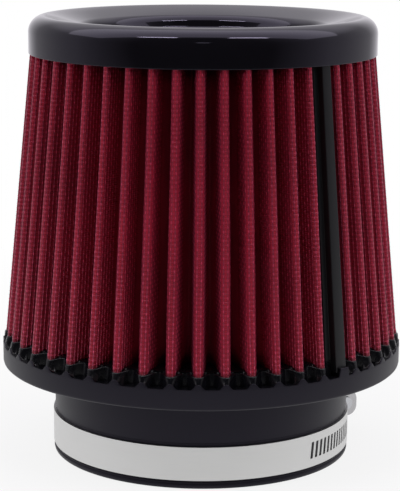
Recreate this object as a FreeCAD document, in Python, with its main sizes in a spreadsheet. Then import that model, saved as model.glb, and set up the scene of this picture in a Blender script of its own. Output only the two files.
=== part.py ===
import FreeCAD
import Part
import Sketcher
import math
import os

# Cone air filter for a cold air intake, in millimetres.
# The axis is Z, z = 0 is the lower rim of the neck, and the front of the object is -Y.

doc = FreeCAD.newDocument("ConeFilter")
sheet = doc.addObject("Spreadsheet::Sheet", "Sizes")

sizes = {
    # the four sizes that the rest follows
    "total_height": "166.5",
    "base_diameter": "152.4",
    "cap_diameter": "130.7",
    "pipe_bore": "101.6",
    # neck and base
    "neck_wall": "5.6",
    "base_low": "34.8",
    "ring_height": "7.5",
    "seat_depth": "0.3",
    "seat_margin": "0.7",
    "rim_land": "1.2",
    "trough_depth": "2.5",
    "collar_width": "4.4",
    "bead_height": "0.5",
    "bead_width": "1.9",
    "neck_round": "1.2",
    "root_round": "2.5",
    "ring_round": "1.2",
    # pleated cone
    "pleat_count": "48",
    "strip_azimuth": "-48.7",
    "strip_angle": "5.65",
    "crest_inset": "1",
    "valley_margin": "1.2",
    "crest_round": "1.75",
    "valley_round": "0.5",
    "media_thick": "1.3",
    # black seam strip
    "land_drop": "0.4",
    "step_drop": "3.4",
    "step_share": "0.32",
    # resin bed and the collars round the pleat feet
    "bed_rise": "1.7",
    "bed_inset": "0.1",
    "bed_bevel": "0.25",
    "collar_height": "3",
    "collar_foot": "0.55",
    "collar_lip": "0.25",
    "collar_spread": "72",
    "collar_blunt": "0.4",
    "scoop_radius": "2.6",
    # top cap
    "cap_depth": "13.85",
    "cap_grip": "1.95",
    "skirt_wall": "0.65",
    "skirt_fit": "0.2",
    "shoulder_round": "6",
    "crest_flat": "7.4",
    "ledge_reach": "17.85",
    "ledge_drop": "3.5",
    "lip_reach": "14.5",
    "lip_drop": "3.9",
    "lip_round": "4",
    "well_depth": "54.5",
    "well_taper": "12",
    "well_wall": "3",
    # worm clamp
    "band_low": "3.3",
    "band_width": "12.5",
    "band_thick": "1",
    "lap_gap": "0.15",
    "lap_angle": "36",
    "lap_root": "10",
    "clamp_azimuth": "28",
    "slot_length": "6.2",
    "slot_width": "1.4",
    "slot_slant": "7",
    "slot_pitch": "2.6",
    "slot_first": "-71.6",
    "slot_count": "23",
    "worm_radius": "4.05",
    "worm_length": "9.7",
    "worm_clear": "0.2",
    "worm_lift": "0.3",
    "shank_radius": "2.6",
    "housing_length": "13",
    "housing_wall": "1",
    "leg_height": "3.2",
    "head_flats": "8",
    "head_height": "5",
    "driver_slot": "1.2",
    # derived: neck and base
    "bore_radius": "=pipe_bore / 2",
    "neck_radius": "=bore_radius + neck_wall",
    "base_radius": "=base_diameter / 2",
    "base_top": "=base_low + ring_height",
    "trough_floor": "=base_top - trough_depth",
    "foot_level": "=base_top + bed_rise",
    "seat_radius": "=neck_radius - seat_depth",
    # derived: top cap
    "cap_radius": "=cap_diameter / 2",
    "cap_low": "=total_height - cap_depth",
    "head_level": "=cap_low + cap_grip",
    "ledge_radius": "=cap_radius - ledge_reach",
    "lip_radius": "=ledge_radius - lip_reach",
    "well_floor": "=total_height - well_depth",
    "well_floor_radius": "=lip_radius - well_taper",
    # derived: one fold at its foot, with a round crest, straight flanks and round valleys
    "crest_radius_foot": "=base_radius - crest_inset",
    "crest_radius_head": "=cap_radius - skirt_wall - skirt_fit",
    "cone_ratio": "=crest_radius_head / crest_radius_foot",
    "valley_radius": "=neck_radius + valley_margin",
    "pleat_pitch": "=(360 - strip_angle) / pleat_count",
    "fold_half": "=pleat_pitch / 2 * 1deg",
    "crest_centre": "=crest_radius_foot - crest_round",
    "valley_reach": "=valley_radius + valley_round + media_thick",
    "valley_x": "=valley_reach * cos(fold_half)",
    "valley_y": "=valley_reach * sin(fold_half)",
    "flank_link": "=sqrt((valley_x - crest_centre)^2 + valley_y^2)",
    "flank_heading": "=atan2(valley_y; valley_x - crest_centre)",
    "flank_normal": "=flank_heading + asin((crest_round + valley_round) / flank_link) - 90deg",
    # derived: worm clamp
    "band_radius": "=seat_radius + band_thick",
    "band_mid": "=band_low + band_width / 2",
    "lap_radius": "=band_radius + lap_gap + band_thick",
    "worm_axis": "=lap_radius + worm_lift + worm_radius",
}
for row, (alias, entry) in enumerate(sizes.items(), start=1):
    sheet.set("A%d" % row, alias)
    sheet.set("B%d" % row, entry)
    sheet.setAlias("B%d" % row, alias)
doc.recompute()


# a turn other than zero, which keeps a rotation's axis until its expression sets the angle
startTurn = 30


def size(alias):
    return float(sheet.get(alias))


def newBody(name):
    body = doc.addObject("PartDesign::Body", name)
    body.Label = name
    return body


def originItem(body, role):
    for item in body.Origin.OriginFeatures:
        if item.Role == role:
            return item


def newSketch(body, name, role, lift=None, turn=None, reach="0"):
    # turn swings an upright plane round the axis, and reach moves it outwards
    sketch = body.newObject("Sketcher::SketchObject", name)
    sketch.AttachmentSupport = [(originItem(body, role), "")]
    sketch.MapMode = "FlatFace"
    if lift:
        sketch.setExpression("AttachmentOffset.Base.z", lift)
    if turn:
        upright = FreeCAD.Rotation(FreeCAD.Vector(0, 1, 0), startTurn)
        sketch.AttachmentOffset = FreeCAD.Placement(FreeCAD.Vector(0, 0, 0), upright)
        sketch.setExpression("AttachmentOffset.Rotation.Angle", turn)
        sketch.setExpression("AttachmentOffset.Base.x", "(%s) * sin(%s * 1deg)" % (reach, turn))
        sketch.setExpression("AttachmentOffset.Base.z", "(%s) * cos(%s * 1deg)" % (reach, turn))
    return sketch


def value(expression):
    # number that a sheet expression stands for, used as the starting position of a point
    probe = doc.getObject("Probe") or doc.addObject("App::FeaturePython", "Probe")
    if "Number" not in probe.PropertiesList:
        probe.addProperty("App::PropertyFloat", "Number")
    return float(probe.evalExpression(expression))


def bow(start, end, radius, turn):
    # arc between two points, counter-clockwise where turn is 1 and clockwise where it is -1
    chord = end - start
    lift = math.sqrt(radius ** 2 - (chord.Length / 2) ** 2)
    side = FreeCAD.Vector(-chord.y, chord.x, 0).normalize()
    centre = (start + end) / 2 + side * lift * turn
    first, last = (start - centre, end - centre) if turn > 0 else (end - centre, start - centre)
    ring = Part.Circle(centre, FreeCAD.Vector(0, 0, 1), radius)
    return Part.ArcOfCircle(ring, math.atan2(first.y, first.x), math.atan2(last.y, last.x))


def outline(sketch, points):
    # closed outline whose corners are tied to the sheet
    # a corner with a radius and a turn starts an arc, and any other corner starts a straight line
    spots = [FreeCAD.Vector(value(point[0]), value(point[1]), 0) for point in points]
    count = len(spots)
    heads = []
    for index, point in enumerate(points):
        start, end = spots[index], spots[(index + 1) % count]
        if len(point) == 2:
            sketch.addGeometry(Part.LineSegment(start, end), False)
            heads.append(1)
        else:
            sketch.addGeometry(bow(start, end, value(point[2]), point[3]), False)
            heads.append(1 if point[3] > 0 else 2)
    for index in range(count):
        after = (index + 1) % count
        sketch.addConstraint(Sketcher.Constraint("Coincident", index, 3 - heads[index], after, heads[after]))
    for index, point in enumerate(points):
        for kind, text, coordinate, line in (
            ("DistanceX", point[0], spots[index].x, -2),
            ("DistanceY", point[1], spots[index].y, -1),
        ):
            if abs(coordinate) < 1e-9:
                sketch.addConstraint(Sketcher.Constraint("PointOnObject", index, heads[index], line))
                continue
            number = sketch.addConstraint(Sketcher.Constraint(kind, -1, 1, index, heads[index], coordinate))
            sketch.setExpression("Constraints[%d]" % number, text)
        if len(point) > 2:
            number = sketch.addConstraint(Sketcher.Constraint("Radius", index, value(point[2])))
            sketch.setExpression("Constraints[%d]" % number, point[2])


def around(centre, radius, angle, ratio):
    # corner at the given radius and angle from a centre, scaled from the fold's foot
    across = "(%s + %s * cos(%s)) * %s" % (centre[0], radius, angle, ratio)
    up = "(%s + %s * sin(%s)) * %s" % (centre[1], radius, angle, ratio)
    return across, up


def circle(sketch, across, up, radius):
    centre = FreeCAD.Vector(value(across), value(up), 0)
    item = sketch.addGeometry(Part.Circle(centre, FreeCAD.Vector(0, 0, 1), value(radius)), False)
    for kind, text, coordinate in (("DistanceX", across, centre.x), ("DistanceY", up, centre.y)):
        number = sketch.addConstraint(Sketcher.Constraint(kind, -1, 1, item, 3, coordinate))
        sketch.setExpression("Constraints[%d]" % number, text)
    number = sketch.addConstraint(Sketcher.Constraint("Radius", item, value(radius)))
    sketch.setExpression("Constraints[%d]" % number, radius)


def revolve(body, name, sketch, angle="360", midplane=False):
    feature = body.newObject("PartDesign::Revolution", name)
    feature.Profile = sketch
    feature.ReferenceAxis = (sketch, ["V_Axis"])
    feature.Midplane = midplane
    feature.setExpression("Angle", angle)
    sketch.Visibility = False
    doc.recompute()
    return feature


def ringEdges(feature, spots):
    # names of the circular edges at the given radius and height
    names = []
    for radius, level in spots:
        for index, edge in enumerate(feature.Shape.Edges, start=1):
            curve = edge.Curve
            if not isinstance(curve, Part.Circle):
                continue
            if abs(curve.Radius - radius) < 1e-4 and abs(curve.Center.z - level) < 1e-4:
                names.append("Edge%d" % index)
    return names


def fillet(body, name, feature, edges, radius):
    item = body.newObject("PartDesign::Fillet", name)
    item.Base = (feature, edges)
    item.setExpression("Radius", radius)
    doc.recompute()
    return item


def pattern(body, name, original, count, spread):
    item = body.newObject("PartDesign::PolarPattern", name)
    item.Originals = [original]
    item.Axis = (originItem(body, "Z_Axis"), [""])
    item.setExpression("Angle", spread)
    item.setExpression("Occurrences", count)
    body.Tip = item
    doc.recompute()
    return item


def turnBody(body, angle):
    swing = FreeCAD.Rotation(FreeCAD.Vector(0, 0, 1), startTurn)
    body.Placement = FreeCAD.Placement(FreeCAD.Vector(0, 0, 0), swing)
    body.setExpression("Placement.Rotation.Angle", angle)
    doc.recompute()


# Base: one rubber moulding with the neck, the ring and the trough that holds the pleat feet.
base = newBody("base_flange")
baseSketch = newSketch(base, "BaseProfile", "XZ_Plane")
outline(baseSketch, [
    ("Sizes.bore_radius", "0"),
    ("Sizes.neck_radius + Sizes.bead_height", "0"),
    ("Sizes.neck_radius + Sizes.bead_height", "Sizes.bead_width"),
    ("Sizes.neck_radius", "Sizes.bead_width"),
    ("Sizes.neck_radius", "Sizes.band_low - Sizes.seat_margin"),
    ("Sizes.seat_radius", "Sizes.band_low - Sizes.seat_margin"),
    ("Sizes.seat_radius", "Sizes.band_low + Sizes.band_width + Sizes.seat_margin"),
    ("Sizes.neck_radius", "Sizes.band_low + Sizes.band_width + Sizes.seat_margin"),
    ("Sizes.neck_radius", "Sizes.base_low"),
    ("Sizes.base_radius", "Sizes.base_low"),
    ("Sizes.base_radius", "Sizes.base_top"),
    ("Sizes.base_radius - Sizes.rim_land", "Sizes.base_top"),
    ("Sizes.base_radius - Sizes.rim_land", "Sizes.trough_floor"),
    ("Sizes.bore_radius + Sizes.collar_width", "Sizes.trough_floor"),
    ("Sizes.bore_radius + Sizes.collar_width", "Sizes.foot_level"),
    ("Sizes.bore_radius", "Sizes.foot_level"),
])
baseTurn = revolve(base, "BaseTurn", baseSketch)
beadRadius = size("neck_radius") + size("bead_height")
neckEdges = ringEdges(baseTurn, [(beadRadius, 0), (size("bore_radius"), 0)])
neckRound = fillet(base, "NeckRound", baseTurn, neckEdges, "Sizes.neck_round")
rootEdges = ringEdges(neckRound, [(size("neck_radius"), size("base_low"))])
rootRound = fillet(base, "RootRound", neckRound, rootEdges, "Sizes.root_round")
lowEdges = ringEdges(rootRound, [(size("base_radius"), size("base_low"))])
lowRound = fillet(base, "LowRound", rootRound, lowEdges, "Sizes.ring_round")


# Pleated cone: one fold is lofted from foot to head, then repeated round the axis.
def foldSketch(body, name, level, ratio):
    sketch = newSketch(body, name, "XY_Plane", lift=level)
    crest = ("Sizes.crest_centre", "0")
    right = ("Sizes.valley_x", "Sizes.valley_y")
    left = ("Sizes.valley_x", "-Sizes.valley_y")
    bend = "Sizes.crest_round"
    bendBack = "(Sizes.crest_round - Sizes.media_thick)"
    crease = "Sizes.valley_round"
    creaseBack = "(Sizes.valley_round + Sizes.media_thick)"
    flank = "Sizes.flank_normal"
    away = "(Sizes.flank_normal + 180deg)"
    seam = "(Sizes.fold_half + 180deg)"
    outline(sketch, [
        around(crest, bend, "-" + flank, ratio) + (bend + " * " + ratio, 1),
        around(crest, bend, flank, ratio),
        around(right, crease, away, ratio) + (crease + " * " + ratio, -1),
        around(right, crease, seam, ratio),
        around(right, creaseBack, seam, ratio) + (creaseBack + " * " + ratio, 1),
        around(right, creaseBack, away, ratio),
        around(crest, bendBack, flank, ratio) + (bendBack + " * " + ratio, -1),
        around(crest, bendBack, "-" + flank, ratio),
        around(left, creaseBack, "-" + away, ratio) + (creaseBack + " * " + ratio, 1),
        around(left, creaseBack, "-" + seam, ratio),
        around(left, crease, "-" + seam, ratio) + (crease + " * " + ratio, -1),
        around(left, crease, "-" + away, ratio),
    ])
    return sketch


media = newBody("pleated_media")
footFold = foldSketch(media, "FoldFoot", "Sizes.foot_level", "1")
headFold = foldSketch(media, "FoldHead", "Sizes.head_level", "Sizes.cone_ratio")
fold = media.newObject("PartDesign::AdditiveLoft", "Fold")
fold.Profile = footFold
fold.Sections = [headFold]
fold.Ruled = True
doc.recompute()
pattern(media, "Folds", fold, "Sizes.pleat_count", "Sizes.pleat_pitch * (Sizes.pleat_count - 1)")
turnBody(media, "Sizes.strip_azimuth + Sizes.strip_angle / 2 + Sizes.pleat_pitch / 2")

# Seam strip: it closes the gap between the first and the last fold, with a land and a lower step.
def stripOutline(sketch, ratio):
    slope = "tan(Sizes.strip_angle * 1deg / 2)"
    inner = "Sizes.valley_radius * %s" % ratio
    land = "(Sizes.crest_radius_foot - Sizes.land_drop) * %s" % ratio
    step = "(Sizes.crest_radius_foot - Sizes.step_drop) * %s" % ratio
    turn = "(2 * Sizes.step_share - 1)"
    outline(sketch, [
        (inner, "-%s * %s" % (inner, slope)),
        (step, "-%s * %s" % (step, slope)),
        (step, "%s * %s * %s" % (step, slope, turn)),
        (land, "%s * %s * %s" % (land, slope, turn)),
        (land, "%s * %s" % (land, slope)),
        (inner, "%s * %s" % (inner, slope)),
    ])


strip = newBody("seam_strip")
stripFoot = newSketch(strip, "StripFoot", "XY_Plane", lift="Sizes.foot_level")
stripOutline(stripFoot, "1")
stripHead = newSketch(strip, "StripHead", "XY_Plane", lift="Sizes.head_level")
stripOutline(stripHead, "Sizes.cone_ratio")
stripLoft = strip.newObject("PartDesign::AdditiveLoft", "StripLoft")
stripLoft.Profile = stripFoot
stripLoft.Sections = [stripHead]
stripLoft.Ruled = True
doc.recompute()
turnBody(strip, "Sizes.strip_azimuth")


# Potting: a glossy resin bed in the trough, a collar round each fold and a scoop between two folds.
def collarSketch(body, name, level, ratio, thick):
    sketch = newSketch(body, name, "XY_Plane", lift=level)
    crest = ("Sizes.crest_centre", "0")
    spread = "(Sizes.collar_spread * 1deg)"
    bend = "Sizes.crest_round"
    blunt = "(Sizes.crest_round + %s * Sizes.collar_blunt)" % thick
    half = "(%s * sin(%s))" % (blunt, spread)
    rise = "(Sizes.crest_round + %s - %s * cos(%s))" % (thick, blunt, spread)
    bulge = "(%s^2 + %s^2) / (2 * %s)" % (half, rise, rise)
    outline(sketch, [
        around(crest, bend, "-" + spread, ratio) + ("%s * %s" % (bend, ratio), 1),
        around(crest, bend, spread, ratio),
        around(crest, blunt, spread, ratio) + ("%s * %s" % (bulge, ratio), -1),
        around(crest, blunt, "-" + spread, ratio),
    ])
    return sketch


potting = newBody("base_potting")
bedSketch = newSketch(potting, "BedProfile", "XZ_Plane")
outline(bedSketch, [
    ("Sizes.bore_radius + Sizes.collar_width", "Sizes.trough_floor"),
    ("Sizes.base_radius - Sizes.rim_land", "Sizes.trough_floor"),
    ("Sizes.base_radius - Sizes.rim_land", "Sizes.base_top"),
    ("Sizes.base_radius - Sizes.bed_inset", "Sizes.base_top"),
    ("Sizes.base_radius - Sizes.bed_inset - Sizes.bed_bevel", "Sizes.foot_level"),
    ("Sizes.bore_radius + Sizes.collar_width", "Sizes.foot_level"),
])
revolve(potting, "Bed", bedSketch)
turnBody(potting, "Sizes.strip_azimuth + Sizes.strip_angle / 2 + Sizes.pleat_pitch / 2")
collarTop = "(1 - (1 - Sizes.cone_ratio) * Sizes.collar_height / (Sizes.head_level - Sizes.foot_level))"
collarFoot = collarSketch(potting, "CollarFoot", "Sizes.foot_level", "1", "Sizes.collar_foot")
collarHead = collarSketch(potting, "CollarHead", "Sizes.foot_level + Sizes.collar_height", collarTop,
                          "Sizes.collar_lip")
collar = potting.newObject("PartDesign::AdditiveLoft", "Collar")
collar.Profile = collarFoot
collar.Sections = [collarHead]
collar.Ruled = True
doc.recompute()
pattern(potting, "Collars", collar, "Sizes.pleat_count", "Sizes.pleat_pitch * (Sizes.pleat_count - 1)")
scoopReach = "Sizes.crest_radius_foot - 2 * Sizes.crest_round"
scoopTurn = "Sizes.pleat_pitch / 2"
scoopSketch = newSketch(potting, "ScoopProfile", "YZ_Plane", turn=scoopTurn, reach=scoopReach)
circle(scoopSketch, "0", "Sizes.foot_level + Sizes.scoop_radius / 2", "Sizes.scoop_radius")
scoop = potting.newObject("PartDesign::Pocket", "Scoop")
scoop.Profile = scoopSketch
scoop.Type = 0
scoop.Reversed = True
scoop.setExpression("Length", "4 * Sizes.crest_round")
doc.recompute()
pattern(potting, "Scoops", scoop, "Sizes.pleat_count - 1", "Sizes.pleat_pitch * (Sizes.pleat_count - 2)")

# Top cap: rounded shoulder, shallow dish, ledge and a deep closed well.
cap = newBody("top_cap")
capSketch = newSketch(cap, "CapProfile", "XZ_Plane")
trough = "(Sizes.valley_radius - Sizes.skirt_fit) * Sizes.cone_ratio"
skirt = "Sizes.crest_radius_head + Sizes.skirt_fit"
outline(capSketch, [
    ("0", "Sizes.well_floor - Sizes.well_wall"),
    ("Sizes.well_floor_radius + Sizes.well_wall", "Sizes.well_floor - Sizes.well_wall"),
    ("Sizes.lip_radius + Sizes.well_wall", "Sizes.cap_low"),
    (trough, "Sizes.cap_low"),
    (trough, "Sizes.head_level"),
    (skirt, "Sizes.head_level"),
    (skirt, "Sizes.cap_low"),
    ("Sizes.cap_radius", "Sizes.cap_low"),
    ("Sizes.cap_radius", "Sizes.total_height"),
    ("Sizes.cap_radius - Sizes.crest_flat", "Sizes.total_height"),
    ("Sizes.ledge_radius", "Sizes.total_height - Sizes.ledge_drop"),
    ("Sizes.lip_radius", "Sizes.total_height - Sizes.lip_drop"),
    ("Sizes.well_floor_radius", "Sizes.well_floor"),
    ("0", "Sizes.well_floor"),
])
capTurn = revolve(cap, "CapTurn", capSketch)
shoulder = ringEdges(capTurn, [(size("cap_radius"), size("total_height"))])
capShoulder = fillet(cap, "Shoulder", capTurn, shoulder, "Sizes.shoulder_round")
lipEdges = ringEdges(capShoulder, [(size("lip_radius"), size("total_height") - size("lip_drop"))])
capLip = fillet(cap, "Lip", capShoulder, lipEdges, "Sizes.lip_round")
crestEdges = ringEdges(capLip, [(size("cap_radius") - size("crest_flat"), size("total_height"))])
capCrest = fillet(cap, "CapCrest", capLip, crestEdges, "Sizes.shoulder_round")
ledgeEdges = ringEdges(capCrest, [(size("ledge_radius"), size("total_height") - size("ledge_drop"))])
capLedge = fillet(cap, "Ledge", capCrest, ledgeEdges, "Sizes.lip_round")

# Worm clamp band: a ring on the neck seat with a slotted stretch and a lapped tail.
band = newBody("clamp_band")
bandTop = "Sizes.band_low + Sizes.band_width"
ringSketch = newSketch(band, "RingProfile", "XZ_Plane")
outline(ringSketch, [
    ("Sizes.seat_radius", "Sizes.band_low"),
    ("Sizes.band_radius", "Sizes.band_low"),
    ("Sizes.band_radius", bandTop),
    ("Sizes.seat_radius", bandTop),
])
revolve(band, "Ring", ringSketch)
lapSketch = newSketch(band, "LapProfile", "XZ_Plane")
outline(lapSketch, [
    ("Sizes.band_radius + Sizes.lap_gap", "Sizes.band_low"),
    ("Sizes.lap_radius", "Sizes.band_low"),
    ("Sizes.lap_radius", bandTop),
    ("Sizes.band_radius + Sizes.lap_gap", bandTop),
])
revolve(band, "Lap", lapSketch, angle="Sizes.lap_angle")
rootSketch = newSketch(band, "RootProfile", "XZ_Plane")
outline(rootSketch, [
    ("Sizes.seat_radius + Sizes.band_thick / 2", "Sizes.band_low"),
    ("Sizes.lap_radius", "Sizes.band_low"),
    ("Sizes.lap_radius", bandTop),
    ("Sizes.seat_radius + Sizes.band_thick / 2", bandTop),
])
revolve(band, "LapRoot", rootSketch, angle="Sizes.lap_root", midplane=True)


def slotRow(body, name, first, count):
    # row of leaning slots that starts at the given angle round the band
    sketch = newSketch(body, name + "Profile", "YZ_Plane", turn="Sizes." + first)
    lean = "tan(Sizes.slot_slant * 1deg) * Sizes.slot_length / 2"
    half = "Sizes.slot_width / 2"
    low = "Sizes.band_mid - Sizes.slot_length / 2"
    high = "Sizes.band_mid + Sizes.slot_length / 2"
    outline(sketch, [
        ("-%s - %s" % (half, lean), low),
        ("%s - %s" % (half, lean), low),
        ("%s + %s" % (half, lean), high),
        ("-%s + %s" % (half, lean), high),
    ])
    slot = body.newObject("PartDesign::Pocket", name)
    slot.Profile = sketch
    slot.Type = 0
    slot.Reversed = True
    slot.setExpression("Length", "Sizes.worm_axis")
    doc.recompute()
    pattern(body, name + "Row", slot, "Sizes." + count, "Sizes.slot_pitch * (Sizes.%s - 1)" % count)


slotRow(band, "Slot", "slot_first", "slot_count")
turnBody(band, "Sizes.clamp_azimuth")

# Clamp housing: an arched bridge over the band with a chamber for the worm.
housing = newBody("clamp_housing")
archSketch = newSketch(housing, "ArchProfile", "XZ_Plane")
legLow = "Sizes.seat_radius + Sizes.seat_depth + Sizes.lap_gap"
legSpan = "(Sizes.band_width / 2 + Sizes.housing_wall)"
archSpan = "(Sizes.worm_radius + Sizes.worm_clear + Sizes.housing_wall)"
archTop = "Sizes.worm_axis + Sizes.worm_radius + Sizes.worm_clear + Sizes.housing_wall"
outline(archSketch, [
    (legLow, "Sizes.band_mid - " + legSpan),
    ("Sizes.lap_radius + Sizes.leg_height / 2", "Sizes.band_mid - " + legSpan),
    ("Sizes.worm_axis", "Sizes.band_mid - " + archSpan),
    (archTop, "Sizes.band_mid - " + archSpan),
    (archTop, "Sizes.band_mid + " + archSpan),
    ("Sizes.worm_axis", "Sizes.band_mid + " + archSpan),
    ("Sizes.lap_radius + Sizes.leg_height / 2", "Sizes.band_mid + " + legSpan),
    (legLow, "Sizes.band_mid + " + legSpan),
])
arch = housing.newObject("PartDesign::Pad", "Arch")
arch.Profile = archSketch
arch.Midplane = True
arch.setExpression("Length", "Sizes.housing_length")
doc.recompute()
topEdges = []
for index, edge in enumerate(arch.Shape.Edges, start=1):
    middle = edge.CenterOfMass
    if abs(middle.y) < 1e-6 and abs(middle.x - value(archTop)) < 1e-6:
        topEdges.append("Edge%d" % index)
archRound = fillet(housing, "ArchRound", arch, topEdges, "Sizes.worm_radius")


def bridgeCut(name, length, draw):
    sketch = newSketch(housing, name + "Profile", "XZ_Plane")
    draw(sketch)
    cut = housing.newObject("PartDesign::Pocket", name)
    cut.Profile = sketch
    cut.Type = 0
    cut.Midplane = True
    cut.setExpression("Length", length)
    doc.recompute()


def bandGate(sketch):
    reach = "Sizes.band_width / 2"
    outline(sketch, [
        ("Sizes.bore_radius", "Sizes.band_mid - " + reach),
        ("Sizes.lap_radius + Sizes.worm_clear", "Sizes.band_mid - " + reach),
        ("Sizes.lap_radius + Sizes.worm_clear", "Sizes.band_mid + " + reach),
        ("Sizes.bore_radius", "Sizes.band_mid + " + reach),
    ])


def wormChamber(sketch):
    circle(sketch, "Sizes.worm_axis", "Sizes.band_mid", "Sizes.worm_radius + Sizes.worm_clear")


def shankHole(sketch):
    circle(sketch, "Sizes.worm_axis", "Sizes.band_mid", "Sizes.shank_radius + Sizes.worm_clear")


bridgeCut("BandGate", "Sizes.housing_length + 2 * Sizes.housing_wall", bandGate)
bridgeCut("WormChamber", "Sizes.worm_length + 2 * Sizes.worm_clear", wormChamber)
bridgeCut("ShankHole", "Sizes.housing_length + 2 * Sizes.housing_wall", shankHole)
turnBody(housing, "Sizes.clamp_azimuth")

# Clamp screw: the worm between two shanks, and a slotted hexagon head outside the housing.
screw = newBody("clamp_screw")
screwSketch = newSketch(screw, "ScrewProfile", "XZ_Plane")
wormHalf = "Sizes.worm_length / 2"
outer = "Sizes.housing_length / 2"
outline(screwSketch, [
    ("0", "-%s - Sizes.housing_wall" % outer),
    ("Sizes.shank_radius", "-%s - Sizes.housing_wall" % outer),
    ("Sizes.shank_radius", "-" + wormHalf),
    ("Sizes.worm_radius", "-" + wormHalf),
    ("Sizes.worm_radius", wormHalf),
    ("Sizes.shank_radius", wormHalf),
    ("Sizes.shank_radius", outer + " + Sizes.worm_clear"),
    ("Sizes.head_flats / 2", outer + " + Sizes.worm_clear"),
    ("Sizes.head_flats / 2", outer + " + Sizes.worm_clear + Sizes.housing_wall"),
    ("0", outer + " + Sizes.worm_clear + Sizes.housing_wall"),
])
revolve(screw, "Worm", screwSketch)
hexHead = screw.newObject("PartDesign::AdditivePrism", "HexHead")
hexHead.Polygon = 6
hexHead.setExpression("Circumradius", "Sizes.head_flats / 2 / cos(30deg)")
hexHead.setExpression("Height", "Sizes.head_height")
hexHead.AttachmentSupport = [(originItem(screw, "XY_Plane"), "")]
hexHead.MapMode = "FlatFace"
hexHead.setExpression("AttachmentOffset.Base.z", outer + " + Sizes.worm_clear + Sizes.housing_wall")
doc.recompute()
driverSketch = newSketch(screw, "DriverProfile", "XZ_Plane")
headTop = outer + " + Sizes.worm_clear + Sizes.housing_wall + Sizes.head_height"
outline(driverSketch, [
    ("-Sizes.driver_slot / 2", headTop + " - Sizes.driver_slot"),
    ("Sizes.driver_slot / 2", headTop + " - Sizes.driver_slot"),
    ("Sizes.driver_slot / 2", headTop + " + Sizes.housing_wall"),
    ("-Sizes.driver_slot / 2", headTop + " + Sizes.housing_wall"),
])
driver = screw.newObject("PartDesign::Pocket", "Driver")
driver.Profile = driverSketch
driver.Type = 0
driver.Midplane = True
driver.setExpression("Length", "2 * Sizes.head_flats")
doc.recompute()
swing = FreeCAD.Rotation(FreeCAD.Vector(0, 0, 1), size("clamp_azimuth"))
lay = FreeCAD.Rotation(FreeCAD.Vector(1, 0, 0), -90)
spot = swing.multVec(FreeCAD.Vector(size("worm_axis"), 0, size("band_mid")))
screw.Placement = FreeCAD.Placement(spot, swing.multiply(lay))
doc.recompute()

for item in doc.Objects:
    if "Invalid" in item.State or "Error" in item.State:
        raise RuntimeError("%s did not compute" % item.Name)
os.makedirs("parts", exist_ok=True)
for body in (cap, media, strip, potting, base, band, housing, screw):
    if body.Shape.isNull() or not body.Shape.isValid():
        raise RuntimeError("%s has no valid shape" % body.Label)
    body.Shape.exportStep("parts/%s.step" % body.Label)
    print(body.Label, round(body.Shape.Volume))
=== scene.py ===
import math

import bmesh
import bpy
from mathutils import Matrix, Quaternion, Vector


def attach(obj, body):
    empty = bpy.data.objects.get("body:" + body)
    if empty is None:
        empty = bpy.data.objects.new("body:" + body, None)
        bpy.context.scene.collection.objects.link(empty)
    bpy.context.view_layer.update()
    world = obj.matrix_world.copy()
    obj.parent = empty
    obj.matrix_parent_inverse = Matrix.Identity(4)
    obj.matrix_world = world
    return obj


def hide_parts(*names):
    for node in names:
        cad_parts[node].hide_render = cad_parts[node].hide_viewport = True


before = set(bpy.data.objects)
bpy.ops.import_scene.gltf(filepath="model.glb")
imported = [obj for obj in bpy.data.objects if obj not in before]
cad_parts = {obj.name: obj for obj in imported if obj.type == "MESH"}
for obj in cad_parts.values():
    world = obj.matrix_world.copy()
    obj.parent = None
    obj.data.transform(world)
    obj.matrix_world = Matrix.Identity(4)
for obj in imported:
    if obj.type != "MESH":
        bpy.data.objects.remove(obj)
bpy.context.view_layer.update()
mm = 0.001
print("frame loaded", sorted(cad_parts))


def linear(hexColour):
    # sRGB hex to the linear colour that the shaders take
    channels = [int(hexColour[i:i + 2], 16) / 255 for i in (1, 3, 5)]
    return tuple(c / 12.92 if c <= 0.04045 else ((c + 0.055) / 1.055) ** 2.4 for c in channels) + (1.0,)


def addNode(tree, kind, settings=None, inputs=None, links=None):
    # one node, its settings, its socket values and the sockets that feed it
    node = tree.nodes.new(kind)
    for key, entry in (settings or {}).items():
        setattr(node, key, entry)
    for key, entry in (inputs or {}).items():
        node.inputs[key].default_value = entry
    for key, source in (links or {}).items():
        tree.links.new(source, node.inputs[key])
    return node


def newMaterial(name):
    material = bpy.data.materials.new(name)
    material.use_nodes = True
    tree = material.node_tree
    return material, tree, tree.nodes["Principled BSDF"]


def varyRoughness(tree, shader, low, high, size, vector):
    # uneven gloss: patches of the given size in millimetres, between two roughnesses
    patches = addNode(tree, "ShaderNodeTexNoise", inputs={"Scale": 1 / (size * mm), "Detail": 4.0},
                      links={"Vector": vector})
    gloss = addNode(tree, "ShaderNodeMapRange", inputs={"To Min": low, "To Max": high},
                    links={"Value": patches.outputs["Fac"]})
    tree.links.new(gloss.outputs["Result"], shader.inputs["Roughness"])
    return patches


def makePiece(bm, name, materials, body, nodes=(), sharp=40):
    # turns a bmesh in millimetres into a finished object on its body
    bmesh.ops.scale(bm, vec=(mm, mm, mm), verts=bm.verts)
    mesh = bpy.data.meshes.new(name)
    bm.to_mesh(mesh)
    bm.free()
    for material in materials:
        mesh.materials.append(material)
    mesh.shade_smooth()
    mesh.set_sharp_from_angle(angle=math.radians(sharp))
    piece = bpy.data.objects.new(name, mesh)
    bpy.context.scene.collection.objects.link(piece)
    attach(piece, body)
    if nodes:
        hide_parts(*nodes)
    print(name, len(mesh.polygons))
    return piece


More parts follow.
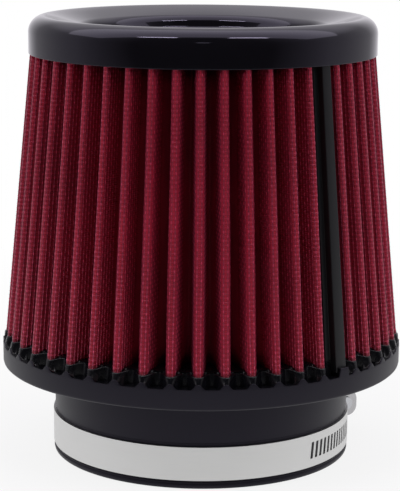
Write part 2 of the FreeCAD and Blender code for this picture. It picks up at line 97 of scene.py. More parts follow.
def lathe(corners, steps, segmentsPerMm=2.5):
    # corners are radius, height and rounding in the order of the outline, spun round the axis
    bm = bmesh.new()
    spots = [bm.verts.new((radius, 0, height)) for radius, height, rounding in corners]
    bm.faces.new(spots)
    for spot, (radius, height, rounding) in zip(spots, corners):
        if rounding:
            bmesh.ops.bevel(bm, geom=[spot], offset=rounding, offset_type='OFFSET', affect='VERTICES',
                            segments=max(3, round(rounding * segmentsPerMm)), profile=0.5, material=-1)
    bmesh.ops.delete(bm, geom=list(bm.faces), context='FACES_ONLY')
    onAxis = [edge for edge in bm.edges if all(abs(v.co.x) < 1e-6 for v in edge.verts)]
    bmesh.ops.delete(bm, geom=onAxis, context='EDGES')
    bmesh.ops.spin(bm, geom=list(bm.verts) + list(bm.edges), cent=(0, 0, 0), axis=(0, 0, 1), dvec=(0, 0, 0),
                   angle=math.tau, steps=steps, use_merge=True, use_duplicate=False)
    bmesh.ops.remove_doubles(bm, verts=bm.verts, dist=1e-4)
    bmesh.ops.recalc_face_normals(bm, faces=bm.faces)
    return bm


# Materials

# moulded rubber of the cap: black with a wet gloss, a faint skin from the mould
capRubber, tree, shader = newMaterial("mouldedRubberGloss")
shader.inputs["Base Color"].default_value = linear("#0B0A0D")
shader.inputs["IOR"].default_value = 1.5
shader.inputs["Specular Tint"].default_value = linear("#E9E2FF")
coords = addNode(tree, "ShaderNodeTexCoord")
varyRoughness(tree, shader, 0.05, 0.09, 16.7, coords.outputs["Object"])
skin = addNode(tree, "ShaderNodeTexNoise", inputs={"Scale": 1 / (1.11 * mm), "Detail": 2.0},
               links={"Vector": coords.outputs["Object"]})
skinBump = addNode(tree, "ShaderNodeBump", inputs={"Strength": 0.01, "Distance": 0.2 * mm},
                   links={"Height": skin.outputs["Fac"]})
tree.links.new(skinBump.outputs["Normal"], shader.inputs["Normal"])

# moulded rubber of the base: charcoal, satin from the mould's fine grain
baseRubber, tree, shader = newMaterial("mouldedRubberSatin")
shader.inputs["IOR"].default_value = 1.5
shader.inputs["Specular IOR Level"].default_value = 0.24
shader.inputs["Specular Tint"].default_value = linear("#E9E2FF")
coords = addNode(tree, "ShaderNodeTexCoord")
bloom = varyRoughness(tree, shader, 0.4, 0.5, 22.2, coords.outputs["Object"])
tone = addNode(tree, "ShaderNodeMix", settings={"data_type": "RGBA"}, links={"Factor": bloom.outputs["Fac"]})
tone.inputs["A"].default_value = linear("#0F0E12")
tone.inputs["B"].default_value = linear("#151418")
tree.links.new(tone.outputs["Result"], shader.inputs["Base Color"])
grain = addNode(tree, "ShaderNodeTexNoise", inputs={"Scale": 1 / (0.625 * mm), "Detail": 2.0},
                links={"Vector": coords.outputs["Object"]})
grainBump = addNode(tree, "ShaderNodeBump", inputs={"Strength": 0.06, "Distance": 0.2 * mm},
                    links={"Height": grain.outputs["Fac"]})
tree.links.new(grainBump.outputs["Normal"], shader.inputs["Normal"])

# cast potting resin: deep black, hard gloss, a slightly wavy surface where it set
pottingResin, tree, shader = newMaterial("castResinBlack")
shader.inputs["Base Color"].default_value = linear("#060609")
shader.inputs["IOR"].default_value = 1.53
shader.inputs["Specular IOR Level"].default_value = 0.32
coords = addNode(tree, "ShaderNodeTexCoord")
flow = varyRoughness(tree, shader, 0.2, 0.34, 4.545, coords.outputs["Object"])
flowBump = addNode(tree, "ShaderNodeBump", inputs={"Strength": 0.15, "Distance": 0.6 * mm},
                   links={"Height": flow.outputs["Fac"]})
tree.links.new(flowBump.outputs["Normal"], shader.inputs["Normal"])

# extruded plastic of the seam strip: black with a soft sheen and faint draw lines
stripPlastic, tree, shader = newMaterial("extrudedPlasticBlack")
shader.inputs["Base Color"].default_value = linear("#0D0D0F")
shader.inputs["IOR"].default_value = 1.49
shader.inputs["Specular IOR Level"].default_value = 0.32
coords = addNode(tree, "ShaderNodeTexCoord")
drawn = addNode(tree, "ShaderNodeMapping", inputs={"Scale": (1.0, 1.0, 0.06)},
                links={"Vector": coords.outputs["Object"]})
varyRoughness(tree, shader, 0.36, 0.5, 1.43, drawn.outputs["Vector"])

# oiled cotton gauze: deep red weave, patchy where the oil has soaked in, black where the resin wicked up.
# Its threads are drawn coarser than real ones, so that they show
gauze = {"threadPitch": 0.62, "thread": "#9A0A28", "gap": "#6C0A1C", "stainLow": 45.6, "stainHigh": 48.6,
         "stainedShare": 0.03}


def wickedResin(tree, coords):
    # share of the red left by the black resin that wicked up from the base, by height
    place = addNode(tree, "ShaderNodeSeparateXYZ", links={"Vector": coords.outputs["Object"]})
    return addNode(tree, "ShaderNodeMapRange", settings={"interpolation_type": 'SMOOTHSTEP'},
                   links={"Value": place.outputs["Z"]},
                   inputs={"From Min": gauze["stainLow"] * mm, "From Max": gauze["stainHigh"] * mm,
                           "To Min": gauze["stainedShare"], "To Max": 1.0})


redGauze, tree, shader = newMaterial("oiledCottonGauze")
shader.inputs["IOR"].default_value = 1.47
shader.inputs["Specular IOR Level"].default_value = 0.28
shader.inputs["Roughness"].default_value = 0.62
coords = addNode(tree, "ShaderNodeTexCoord")
cloth = addNode(tree, "ShaderNodeUVMap", settings={"uv_map": "cloth"})
threads = addNode(tree, "ShaderNodeMapping", links={"Vector": cloth.outputs["UV"]},
                  inputs={"Scale": (1 / gauze["threadPitch"], 1 / gauze["threadPitch"], 1.0)})
weave = addNode(tree, "ShaderNodeTexBrick", settings={"offset": 0.5},
                links={"Vector": threads.outputs["Vector"]},
                inputs={"Scale": 1.0, "Mortar Size": 0.18, "Mortar Smooth": 0.6, "Brick Width": 1.0,
                        "Row Height": 1.0, "Color1": linear(gauze["thread"]), "Color2": linear(gauze["thread"]),
                        "Mortar": linear(gauze["gap"])})
soak = addNode(tree, "ShaderNodeTexNoise", inputs={"Scale": 1 / (25.0 * mm), "Detail": 4.0},
               links={"Vector": coords.outputs["Object"]})
depth = addNode(tree, "ShaderNodeMapRange", links={"Value": soak.outputs["Fac"]},
                inputs={"From Min": 0.3, "From Max": 0.7, "To Min": 0.72, "To Max": 1.0})
stain = wickedResin(tree, coords)
wet = addNode(tree, "ShaderNodeMath", settings={"operation": 'MULTIPLY'},
              links={0: depth.outputs["Result"], 1: stain.outputs["Result"]})
oiled = addNode(tree, "ShaderNodeMix", settings={"data_type": "RGBA", "blend_type": "MULTIPLY"},
                inputs={"Factor": 1.0}, links={"A": weave.outputs["Color"], "B": wet.outputs["Value"]})
tree.links.new(oiled.outputs["Result"], shader.inputs["Base Color"])
weaveBump = addNode(tree, "ShaderNodeBump", settings={"invert": True}, links={"Height": weave.outputs["Fac"]},
                    inputs={"Strength": 0.35, "Distance": 0.3 * mm})
tree.links.new(weaveBump.outputs["Normal"], shader.inputs["Normal"])

# stainless strip of the clamp: light grey, rolled, with fine lines along the band
bandSteel, tree, shader = newMaterial("rolledStainlessSteel")
shader.inputs["Base Color"].default_value = linear("#DADAD9")
shader.inputs["Metallic"].default_value = 1.0
coords = addNode(tree, "ShaderNodeTexCoord")
rolled = addNode(tree, "ShaderNodeMapping", inputs={"Scale": (0.04, 0.04, 1.0)},
                 links={"Vector": coords.outputs["Object"]})
varyRoughness(tree, shader, 0.42, 0.54, 0.417, rolled.outputs["Vector"])

# pressed steel of the housing: darker and smoother than the band, so that the black neck shows in it
housingSteel, tree, shader = newMaterial("pressedStainlessSteel")
shader.inputs["Base Color"].default_value = linear("#B4B3B5")
shader.inputs["Metallic"].default_value = 1.0
coords = addNode(tree, "ShaderNodeTexCoord")
varyRoughness(tree, shader, 0.2, 0.32, 3.33, coords.outputs["Object"])

# zinc plated steel of the screw: a little darker and bluer than the band
screwSteel, tree, shader = newMaterial("zincPlatedSteel")
shader.inputs["Base Color"].default_value = linear("#BEBFC3")
shader.inputs["Metallic"].default_value = 1.0
coords = addNode(tree, "ShaderNodeTexCoord")
varyRoughness(tree, shader, 0.2, 0.34, 2.0, coords.outputs["Object"])
print("materials made")


# Top cap: a round shoulder, a land, a rolled edge with a steep throat, a ledge and a closed well
cap = {"radius": 65.35, "low": 152.65, "high": 166.5, "shoulder": 6.0, "crestFlat": 7.4, "crestRound": 4.5,
       "rollRadius": 45.2, "rollDrop": 3.8, "rollRound": 2.1, "throatRadius": 43.7, "throatDrop": 8.8,
       "throatRound": 1.5, "lipRadius": 33.0, "lipDrop": 9.4, "lipRound": 2.0, "wellFloor": 112.0,
       "wellFloorRadius": 21.0, "floorRound": 4.0, "wall": 3.0, "underside": 154.6, "troughIn": 49.2,
       "troughOut": 64.7, "steps": 192}
capMesh = lathe([
    (0, cap["wellFloor"] - cap["wall"], 0),
    (cap["wellFloorRadius"] + cap["wall"], cap["wellFloor"] - cap["wall"], 3),
    (cap["lipRadius"] + cap["wall"], cap["low"], 2),
    (cap["troughIn"], cap["low"], 0.5),
    (cap["troughIn"], cap["underside"], 0),
    (cap["troughOut"], cap["underside"], 0),
    (cap["troughOut"], cap["low"], 0.1),
    (cap["radius"], cap["low"], 0.15),
    (cap["radius"], cap["high"], cap["shoulder"]),
    (cap["radius"] - cap["crestFlat"], cap["high"], cap["crestRound"]),
    (cap["rollRadius"], cap["high"] - cap["rollDrop"], cap["rollRound"]),
    (cap["throatRadius"], cap["high"] - cap["throatDrop"], cap["throatRound"]),
    (cap["lipRadius"], cap["high"] - cap["lipDrop"], cap["lipRound"]),
    (cap["wellFloorRadius"], cap["wellFloor"], cap["floorRound"]),
    (0, cap["wellFloor"], 0),
], cap["steps"])
makePiece(capMesh, "topCap", [capRubber], "filter", ["top_cap"])


# Base ring and neck, with a seat for the clamp and a small bead at the lower rim
base = {"bore": 50.8, "neck": 56.4, "ring": 76.2, "low": 34.8, "top": 42.3, "seat": 56.1, "seatLow": 2.6,
        "seatHigh": 17.0, "trough": 39.8, "rim": 1.2, "collar": 55.2, "foot": 44.0, "bead": 56.9,
        "beadHigh": 1.9, "steps": 192}
baseMesh = lathe([
    (base["bore"], 0, 1.2),
    (base["bead"], 0, 1.0),
    (base["bead"], base["beadHigh"], 0.4),
    (base["neck"], base["beadHigh"], 0.2),
    (base["neck"], base["seatLow"], 0.15),
    (base["seat"], base["seatLow"], 0),
    (base["seat"], base["seatHigh"], 0),
    (base["neck"], base["seatHigh"], 0.3),
    (base["neck"], base["low"], 2.5),
    (base["ring"], base["low"], 1.2),
    (base["ring"], base["top"], 0),
    (base["ring"] - base["rim"], base["top"], 0),
    (base["ring"] - base["rim"], base["trough"], 0),
    (base["collar"], base["trough"], 0),
    (base["collar"], base["foot"], 0.8),
    (base["bore"], base["foot"], 1.2),
], base["steps"])
makePiece(baseMesh, "baseFlange", [baseRubber], "filter", ["base_flange"])


# Pleats: one fold of the cloth, repeated round the cone from the seam strip and back to it
pleat = {"count": 48, "stripTurn": -48.7, "stripAngle": 5.65, "foot": 44.0, "head": 154.6, "crestFoot": 75.2,
         "crestHead": 64.5, "depth": 17.6, "crestRound": 1.35, "roundShare": 0.97, "valleyRound": 0.5,
         "thick": 1.3, "rows": 10}
pleat["pitch"] = (360 - pleat["stripAngle"]) / pleat["count"]
pleat["ratio"] = pleat["crestHead"] / pleat["crestFoot"]
pleat["firstTurn"] = pleat["stripTurn"] + pleat["stripAngle"] / 2 + pleat["pitch"] / 2
pleat["valley"] = pleat["crestFoot"] - pleat["depth"] + pleat["thick"]
# degrees that the folds stray from even spacing: a slow drift round the cone and a small lean of each fold
stray = {"drift": 1.45, "waves": 2.3, "lean": 0.14, "leanRise": 4, "leanRound": 0.83}


def foldLine(bm):
    # outline of one fold's outer face at the foot, from valley to valley, with its points in order
    half = math.radians(pleat["pitch"] / 2)
    floor, side = pleat["valley"] * math.cos(half), pleat["valley"] * math.sin(half)
    corners = [
        (floor, -side),
        (floor, pleat["valleyRound"] - side),
        (pleat["crestFoot"], -pleat["crestRound"]),
        (pleat["crestFoot"], pleat["crestRound"]),
        (floor, side - pleat["valleyRound"]),
        (floor, side),
    ]
    spots = [bm.verts.new((x, y, pleat["foot"])) for x, y in corners]
    for first, second in zip(spots, spots[1:]):
        bm.edges.new((first, second))
    bmesh.ops.bevel(bm, geom=[spots[2], spots[3]], offset=pleat["crestRound"] * pleat["roundShare"],
                    offset_type='OFFSET', affect='VERTICES', segments=4, profile=0.5, material=-1)
    here = min((spot for spot in bm.verts if len(spot.link_edges) == 1), key=lambda spot: spot.co.y)
    line = [here]
    while len(line) < len(bm.verts):
        here = next(edge.other_vert(here) for edge in here.link_edges if edge.other_vert(here) not in line)
        line.append(here)
    return line


def coneScale(height):
    return 1 - (1 - pleat["ratio"]) * (height - pleat["foot"]) / (pleat["head"] - pleat["foot"])


def settle(bm):
    # moves every point by the folds' uneven spacing, none of it at the seam strip
    for spot in bm.verts:
        angle = math.degrees(math.atan2(spot.co.y, spot.co.x))
        away = (angle - pleat["stripTurn"] + 180) % 360 - 180
        turn = -stray["drift"] * math.sin(math.radians(stray["waves"] * away)) * (1 - (away / 180) ** 4)
        rise = min(1.0, max(0.0, (spot.co.z - pleat["foot"]) / (pleat["head"] - pleat["foot"])))
        bend = math.sin(rise * stray["leanRise"] + angle * stray["leanRound"])
        turn += stray["lean"] * bend * math.sin(math.pi * rise)
        spot.co.rotate(Matrix.Rotation(math.radians(turn), 3, 'Z'))


def repeatFolds(bm):
    # copies the first fold round the axis and turns the whole ring to its place
    bmesh.ops.spin(bm, geom=list(bm.verts) + list(bm.edges) + list(bm.faces), cent=(0, 0, 0), axis=(0, 0, 1),
                   dvec=(0, 0, 0), angle=math.radians(pleat["pitch"] * (pleat["count"] - 1)),
                   steps=pleat["count"] - 1, use_merge=False, use_duplicate=True)
    bmesh.ops.remove_doubles(bm, verts=bm.verts, dist=1e-3)
    bmesh.ops.rotate(bm, verts=bm.verts, cent=(0, 0, 0),
                     matrix=Matrix.Rotation(math.radians(pleat["firstTurn"]), 3, 'Z'))
    settle(bm)
    bmesh.ops.recalc_face_normals(bm, faces=bm.faces)


mediaMesh = bmesh.new()
along = mediaMesh.verts.layers.float.new("along")
line = foldLine(mediaMesh)
for before, spot in zip(line, line[1:]):
    spot[along] = before[along] + (spot.co - before.co).length
rowHeight = (pleat["head"] - pleat["foot"]) / pleat["rows"]
edges = list(mediaMesh.edges)
for row in range(pleat["rows"]):
    level = pleat["foot"] + row * rowHeight
    made = bmesh.ops.extrude_edge_only(mediaMesh, edges=edges)["geom"]
    spots = [item for item in made if isinstance(item, bmesh.types.BMVert)]
    edges = [item for item in made
             if isinstance(item, bmesh.types.BMEdge) and all(v in spots for v in item.verts)]
    grow = coneScale(level + rowHeight) / coneScale(level)
    bmesh.ops.scale(mediaMesh, vec=(grow, grow, 1), verts=spots)
    bmesh.ops.translate(mediaMesh, vec=(0, 0, rowHeight), verts=spots)
repeatFolds(mediaMesh)
facing = sum(face.normal.dot(face.calc_center_median() * Vector((1, 1, 0))) for face in mediaMesh.faces)
if facing < 0:
    bmesh.ops.reverse_faces(mediaMesh, faces=mediaMesh.faces)
clothMap = mediaMesh.loops.layers.uv.new("cloth")
for face in mediaMesh.faces:
    for loop in face.loops:
        loop[clothMap].uv = (loop.vert[along], loop.vert.co.z)
media = makePiece(mediaMesh, "pleatedMedia", [redGauze], "filter", ["pleated_media"], sharp=180)
wall = media.modifiers.new("clothThickness", 'SOLIDIFY')
wall.thickness = pleat["thick"] * mm
wall.offset = -1


# Wire screen over the outer half of the folds
# the upright colour and the two shares at the end set the uprights' painted highlight and painted glints
wire = {"pitch": 1.53, "rowWidth": 0.36, "rowHeight": 0.17, "uprightWidth": 0.44, "uprightHeight": 0.24,
        "sink": 0.05, "reach": 9.0, "crestDepth": 3.0, "low": 46.8, "high": 152.4, "uprightSteps": 6,
        "rowColour": "#9C2440", "uprightColour": "#EC5A7E", "glintGapShare": 0.45, "glintUnderShare": 0.5}

# coated screen wire, plain weave: thin bright wire under a coat of red oil. The uprights are coloured lighter
# than the rows, a painted highlight, and carry painted glints: their colour is lightest at every second row,
# where the upright passes over it, and on the next upright at the rows between; less light at the other rows,
# darkest between the rows
wirePitch = wire["pitch"] * mm
crossingGlints = ((wirePitch / 2, wire["glintGapShare"]), (wirePitch, wire["glintUnderShare"]))
screenWires = []
for name, colour, shift, glintSteps in (("coatedRowWire", wire["rowColour"], 0.0, ()),
                                   ("uprightWirePaintedGlints", wire["uprightColour"], 0.0, crossingGlints),
                                   ("nextUprightWirePaintedGlints", wire["uprightColour"], wirePitch, crossingGlints)):
    material, tree, shader = newMaterial(name)
    screenWires.append(material)
    shader.inputs["Metallic"].default_value = 0.8
    shader.inputs["Coat Weight"].default_value = 0.55
    shader.inputs["Coat Roughness"].default_value = 0.22
    coords = addNode(tree, "ShaderNodeTexCoord")
    varyRoughness(tree, shader, 0.3, 0.44, 8.33, coords.outputs["Object"])
    shade = wickedResin(tree, coords).outputs["Result"]
    place = addNode(tree, "ShaderNodeSeparateXYZ", links={"Vector": coords.outputs["Object"]})
    above = addNode(tree, "ShaderNodeMath", settings={"operation": 'SUBTRACT'},
                    inputs={1: wire["low"] * mm - shift}, links={0: place.outputs["Z"]})
    # painted glints: the upright's colour fades from light at the row crossings to darker between them
    for reach, share in glintSteps:
        away = addNode(tree, "ShaderNodeMath", settings={"operation": 'PINGPONG'}, inputs={1: reach},
                       links={0: above.outputs["Value"]})
        glintFactor = addNode(tree, "ShaderNodeMapRange", settings={"interpolation_type": 'SMOOTHSTEP'},
                       links={"Value": away.outputs["Value"]},
                       inputs={"From Min": 0.0, "From Max": reach, "To Min": 1.0, "To Max": share})
        shade = addNode(tree, "ShaderNodeMath", settings={"operation": 'MULTIPLY'},
                        links={0: shade, 1: glintFactor.outputs["Result"]}).outputs["Value"]
    glintedColour = addNode(tree, "ShaderNodeMix", settings={"data_type": "RGBA", "blend_type": "MULTIPLY"},
                     inputs={"Factor": 1.0, "A": linear(colour)}, links={"B": shade})
    tree.links.new(glintedColour.outputs["Result"], shader.inputs["Base Color"])


def sampleFold(reach):
    # points and outward directions along the fold's outer face, down to the given depth under the crest
    probe = bmesh.new()
    line = [spot.co.copy() for spot in foldLine(probe)]
    probe.free()
    crest = [spot for spot in line if spot.x > pleat["crestFoot"] - wire["crestDepth"]]
    first, last = line[1], line[-2]
    share = (reach - (pleat["crestFoot"] - crest[0].x)) / (crest[0].x - first.x)
    chain = [crest[0].lerp(first, share)] + crest + [crest[-1].lerp(last, share)]
    normals = []
    for index in range(len(chain)):
        run = chain[min(index + 1, len(chain) - 1)] - chain[max(index - 1, 0)]
        normals.append(Vector((run.y, -run.x, 0)).normalized())
    return chain, normals


def tent(bm, spots, normals, side, height, slot):
    # strip with a raised middle that stands for one wire along the given points
    lines = [[bm.verts.new(spot + normal * lift + side * shift) for spot, normal in zip(spots, normals)]
             for shift, lift in ((-1, -wire["sink"]), (0, height), (1, -wire["sink"]))]
    for low, high in zip(lines, lines[1:]):
        for index in range(len(low) - 1):
            face = bm.faces.new((low[index], low[index + 1], high[index + 1], high[index]))
            face.material_index = slot


def atLevel(spot, level):
    return Vector((spot.x * coneScale(level), spot.y * coneScale(level), level))


screenMesh = bmesh.new()
chain, normals = sampleFold(wire["reach"])
for row in range(int((wire["high"] - wire["low"]) / wire["pitch"]) + 1):
    level = wire["low"] + row * wire["pitch"]
    tent(screenMesh, [atLevel(spot, level) for spot in chain], normals, Vector((0, 0, wire["rowWidth"] / 2)),
         wire["rowHeight"], 0)
length = sum((b - a).length for a, b in zip(chain, chain[1:]))
columns = int(length / wire["pitch"] / 2) * 2 - 1
rise = (wire["high"] - wire["low"]) / wire["uprightSteps"]
levels = [wire["low"] + rise * step for step in range(wire["uprightSteps"] + 1)]
for column in range(columns + 1):
    goal = (length - columns * wire["pitch"]) / 2 + column * wire["pitch"]
    index = 0
    while index < len(chain) - 2 and goal > (chain[index + 1] - chain[index]).length:
        goal -= (chain[index + 1] - chain[index]).length
        index += 1
    run = (chain[index + 1] - chain[index]).normalized()
    spots = [atLevel(chain[index] + run * goal, level) for level in levels]
    tent(screenMesh, spots, [Vector((run.y, -run.x, 0))] * len(levels), run * wire["uprightWidth"] / 2,
         wire["uprightHeight"], 1 + column % 2)
repeatFolds(screenMesh)
makePiece(screenMesh, "wireScreen", screenWires, "filter", sharp=180)


# Seam strip: a land and a lower step
strip = {"innerDrop": 17.6, "landDrop": 0.4, "stepDrop": 3.4, "stepShare": 0.32, "bevel": 0.35}
stripMesh = bmesh.new()
spread = math.tan(math.radians(pleat["stripAngle"] / 2))
inner = pleat["crestFoot"] - strip["innerDrop"]
land = pleat["crestFoot"] - strip["landDrop"]
step = pleat["crestFoot"] - strip["stepDrop"]
turn = 2 * strip["stepShare"] - 1
corners = [(inner, -inner * spread), (step, -step * spread), (step, step * spread * turn),
           (land, land * spread * turn), (land, land * spread), (inner, inner * spread)]
floorFace = stripMesh.faces.new([stripMesh.verts.new((x, y, pleat["foot"])) for x, y in corners])
made = bmesh.ops.extrude_face_region(stripMesh, geom=[floorFace])["geom"]
upper = [item for item in made if isinstance(item, bmesh.types.BMVert)]
bmesh.ops.scale(stripMesh, vec=(pleat["ratio"], pleat["ratio"], 1), verts=upper)
bmesh.ops.translate(stripMesh, vec=(0, 0, pleat["head"] - pleat["foot"]), verts=upper)
bmesh.ops.recalc_face_normals(stripMesh, faces=stripMesh.faces)
upright = [edge for edge in stripMesh.edges if abs(edge.verts[0].co.z - edge.verts[1].co.z) > 1]
bmesh.ops.bevel(stripMesh, geom=upright, offset=strip["bevel"], offset_type='OFFSET', affect='EDGES',
                segments=3, profile=0.5, material=-1)
bmesh.ops.rotate(stripMesh, verts=stripMesh.verts, cent=(0, 0, 0),
                 matrix=Matrix.Rotation(math.radians(pleat["stripTurn"]), 3, 'Z'))
makePiece(stripMesh, "seamStrip", [stripPlastic], "filter", ["seam_strip"])


# Potting: black resin that wraps the foot of each fold in a collar, with a scooped pocket between two collars,
# and under it the base's rim, which rises in a small tongue below each fold
bed = {"outer": 76.15, "rimFrom": 75.9, "rimLow": 42.3, "rimKeep": 0.2, "level": 48.0, "crown": 71.6,
       "tongue": 44.4, "tongueDip": 1.9, "tongueStart": 0.05, "tongueShare": 0.55, "landTongue": 45.6,
       "landFrom": -0.9, "landTo": -0.5, "collarFoot": 75.75, "collarTop": 75.2, "collarHigh": 46.7,
       "collarBack": 74.2, "collarShare": 0.95, "pocketFrom": 72.0, "pocketStart": 0.1, "pocketDepth": 3.6,
       "pocketRise": 0.9, "footRise": 0.05, "backRise": 0.1, "reachSlack": 0.05, "heightSlack": 0.1,
       "stepsPerFold": 24}
bedCorners = [
    (base["collar"], base["trough"], 0),
    (base["ring"] - base["rim"], base["trough"], 0),
    (base["ring"] - base["rim"], bed["rimLow"], 0),
    (bed["outer"], bed["rimLow"], 0),
    (bed["outer"], bed["tongue"], 0.3),
    (bed["collarFoot"], bed["tongue"] + bed["footRise"], 0),
    (bed["collarTop"], bed["collarHigh"], 0.4),
    (bed["collarBack"], bed["collarHigh"] + bed["backRise"], 0),
    (bed["crown"], bed["level"], 0.4),
    (base["collar"], bed["level"], 0),
]
bedMesh = lathe(bedCorners, pleat["count"] * bed["stepsPerFold"])


def smooth(low, high, number):
    # 0 up to low, 1 from high on, and an even bend between them
    share = min(1.0, max(0.0, (number - low) / (high - low)))
    return share * share * (3 - 2 * share)


for spot in bedMesh.verts:
    reach = math.hypot(spot.co.x, spot.co.y)
    if reach < bed["pocketFrom"] or spot.co.z < bed["rimLow"] + bed["rimKeep"]:
        continue
    angle = (math.degrees(math.atan2(spot.co.y, spot.co.x)) - pleat["stripTurn"] + 180) % 360 - 180
    past = abs(angle) - pleat["stripAngle"] / 2
    if past > 0:
        aside = abs(past / pleat["pitch"] % 1 - 0.5) * 2
        pocket = smooth(bed["pocketStart"], bed["collarShare"], aside)
        dip = bed["tongueDip"] * smooth(bed["tongueStart"], bed["tongueShare"], aside)
    else:
        pocket = 1.0
        lift = bed["landTongue"] - bed["tongue"] + bed["tongueDip"]
        dip = bed["tongueDip"] - lift * smooth(bed["landFrom"], bed["landTo"], angle)
    height = spot.co.z
    if reach < bed["collarFoot"] + bed["reachSlack"]:
        inward = 1 - bed["pocketDepth"] * pocket / reach
        spot.co.x *= inward
        spot.co.y *= inward
    if height < bed["tongue"] + bed["heightSlack"]:
        spot.co.z -= dip * (height - bed["rimLow"]) / (bed["tongue"] - bed["rimLow"])
    else:
        spot.co.z += pocket * bed["pocketRise"]
for face in bedMesh.faces:
    middle = face.calc_center_median()
    if math.hypot(middle.x, middle.y) > bed["rimFrom"]:
        face.material_index = 1
settle(bedMesh)
makePiece(bedMesh, "pottingBed", [pottingResin, baseRubber], "filter", ["base_potting"],
          sharp=60)


# Clamp: the solids' own shapes with a steel finish
for node, finish in (("clamp_band", bandSteel), ("clamp_housing", housingSteel), ("clamp_screw", screwSteel)):
    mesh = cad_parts[node].data
    mesh.materials.clear()
    mesh.materials.append(finish)
print("clamp finished")


# Floor: pale paper that the camera and the steel see as white, with the object's shadow in it, clear from below
ground = {"colour": "#C4C4C4", "radius": 0.45, "drop": 0.0001, "nearReach": 0.08, "farReach": 0.4,
          "nearWhite": 0.85}
floorPaper, tree, shader = newMaterial("palePaper")
shader.inputs["Base Color"].default_value = linear(ground["colour"])
shader.inputs["Roughness"].default_value = 0.9
path = addNode(tree, "ShaderNodeLightPath")
seen = addNode(tree, "ShaderNodeMath", settings={"operation": 'MAXIMUM'},
               links={0: path.outputs["Is Camera Ray"], 1: path.outputs["Is Glossy Ray"]})
coords = addNode(tree, "ShaderNodeTexCoord")
away = addNode(tree, "ShaderNodeVectorMath", settings={"operation": 'LENGTH'},
               links={0: coords.outputs["Object"]})
white = addNode(tree, "ShaderNodeMapRange", links={"Value": away.outputs["Value"]},
                inputs={"From Min": ground["nearReach"], "From Max": ground["farReach"],
                        "To Min": ground["nearWhite"], "To Max": 1.0})
share = addNode(tree, "ShaderNodeMath", settings={"operation": 'MULTIPLY'},
                links={0: seen.outputs["Value"], 1: white.outputs["Result"]})
glow = addNode(tree, "ShaderNodeEmission", inputs={"Strength": 1.0})
mixed = addNode(tree, "ShaderNodeMixShader",
                links={0: share.outputs["Value"], 1: shader.outputs["BSDF"], 2: glow.outputs["Emission"]})
side = addNode(tree, "ShaderNodeNewGeometry")
clear = addNode(tree, "ShaderNodeBsdfTransparent")
oneSided = addNode(tree, "ShaderNodeMixShader",
                   links={0: side.outputs["Backfacing"], 1: mixed.outputs["Shader"], 2: clear.outputs["BSDF"]})
tree.links.new(oneSided.outputs["Shader"], tree.nodes["Material Output"].inputs["Surface"])
floorMesh = bmesh.new()
bmesh.ops.create_circle(floorMesh, cap_ends=True, segments=96, radius=ground["radius"],
                        matrix=Matrix.Translation((0, 0, -ground["drop"])))
floorData = bpy.data.meshes.new("floor")
floorMesh.to_mesh(floorData)
floorMesh.free()
floorData.materials.append(floorPaper)
floor = bpy.data.objects.new("floor", floorData)
bpy.context.scene.collection.objects.link(floor)

# Studio: bright behind and above the object, grey at its sides and dark round the camera, a little cool
studio = {"tint": (0.97, 0.94, 1.0, 1.0), "ceiling": 0.62,
          "walls": [(-0.7, 0.03), (-0.4, 0.22), (0.0, 0.46), (0.4, 0.5), (0.75, 0.47), (1.0, 0.45)]}
world = bpy.data.worlds.new("studio")
bpy.context.scene.world = world
world.use_nodes = True
tree = world.node_tree
path = addNode(tree, "ShaderNodeLightPath")
coords = addNode(tree, "ShaderNodeTexCoord")
heading = addNode(tree, "ShaderNodeSeparateXYZ", links={"Vector": coords.outputs["Generated"]})
depth = addNode(tree, "ShaderNodeMapRange", links={"Value": heading.outputs["Y"]}, inputs={"From Min": -1.0})
walls = addNode(tree, "ShaderNodeValToRGB", links={"Fac": depth.outputs["Result"]})
stops = walls.color_ramp.elements
for place, level in studio["walls"]:
    stops.new(place / 2 + 0.5).color = (level, level, level, 1)
stops.remove(stops[0])
behind = addNode(tree, "ShaderNodeMapRange", settings={"interpolation_type": 'SMOOTHSTEP'},
                 links={"Value": heading.outputs["Y"]},
                 inputs={"From Min": -0.3, "From Max": 0.3, "To Max": studio["ceiling"]})
above = addNode(tree, "ShaderNodeMapRange", settings={"interpolation_type": 'SMOOTHSTEP'},
                links={"Value": heading.outputs["Z"], "To Max": behind.outputs["Result"]},
                inputs={"From Min": 0.38, "From Max": 0.68})
level = addNode(tree, "ShaderNodeMath", settings={"operation": 'ADD'},
                links={0: walls.outputs["Color"], 1: above.outputs["Result"]})
toned = addNode(tree, "ShaderNodeMix", settings={"data_type": "RGBA", "blend_type": "MULTIPLY"},
                inputs={"Factor": 1.0, "A": studio["tint"]}, links={"B": level.outputs["Value"]})
seen = addNode(tree, "ShaderNodeMix", settings={"data_type": "RGBA"}, inputs={"B": (1, 1, 1, 1)},
               links={"Factor": path.outputs["Is Camera Ray"], "A": toned.outputs["Result"]})
tree.links.new(seen.outputs["Result"], tree.nodes["Background"].inputs["Color"])


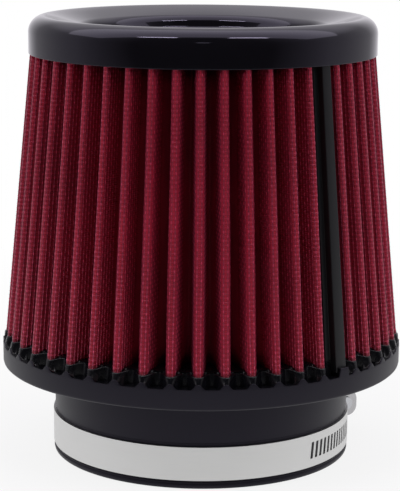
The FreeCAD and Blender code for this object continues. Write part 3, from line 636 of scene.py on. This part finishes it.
def softbox(name, place, aim, size, turn, power):
    # panel that faces its aim, turned in its own plane by the given degrees
    lamp = bpy.data.lights.new(name, 'AREA')
    lamp.shape = 'RECTANGLE'
    lamp.size, lamp.size_y = size
    lamp.energy = power
    lamp.color = studio["tint"][:3]
    item = bpy.data.objects.new(name, lamp)
    item.location = place
    facing = (Vector(aim) - Vector(place)).to_track_quat('-Z', 'Y')
    item.rotation_euler = (facing @ Quaternion((0, 0, 1), math.radians(turn))).to_euler()
    bpy.context.scene.collection.objects.link(item)
    return item


# a wide panel overhead, two narrow strips at its front edge, a soft fill from each side of the camera, and the
# small lamp above the camera that leaves a faint spot on the cap
softbox("overheadPanel", place=(0, -0.09, 1.15), aim=(0, -0.09, 0), size=(4.4, 1.18), turn=0, power=17)
softbox("cameraLamp", place=(0, -1.2, 0.6), aim=(0, 0, 0.16), size=(0.18, 0.06), turn=0, power=0.06)
for side in (-1, 1):
    softbox("frontStrip", place=(0.53 * side, -0.68, 1.14), aim=(0.53 * side, -0.68, 0), size=(0.5, 0.06),
            turn=10 * side, power=2)
    fill = softbox("sideFill", place=(1.05 * side, -0.6, 0.6), aim=(0, 0, 0.1), size=(0.5, 0.5), turn=0,
                   power=6.4)
    fill.visible_glossy = False
print("lamps placed")

# Camera: a long lens near the centre line, high enough to see into the cap's dish
view = {"distance": 0.6929, "height": 0.2169, "pitch": 11.285, "roll": 0.351, "yaw": 0.0562,
        "focalPixels": 1843.1, "imageHeight": 491}
lens = bpy.data.cameras.new("camera")
lens.sensor_width = 36.0
lens.lens = view["focalPixels"] / view["imageHeight"] * lens.sensor_width
lens.clip_start = 0.01
lens.clip_end = 50.0
camera = bpy.data.objects.new("camera", lens)
camera.matrix_world = (Matrix.Translation((0, -view["distance"], view["height"]))
                       @ Matrix.Rotation(math.radians(view["yaw"]), 4, 'Z')
                       @ Matrix.Rotation(math.radians(90 - view["pitch"]), 4, 'X')
                       @ Matrix.Rotation(math.radians(view["roll"]), 4, 'Z'))
bpy.context.scene.collection.objects.link(camera)
bpy.context.scene.camera = camera
bpy.context.scene.view_settings.view_transform = 'Standard'
print("stage ready")
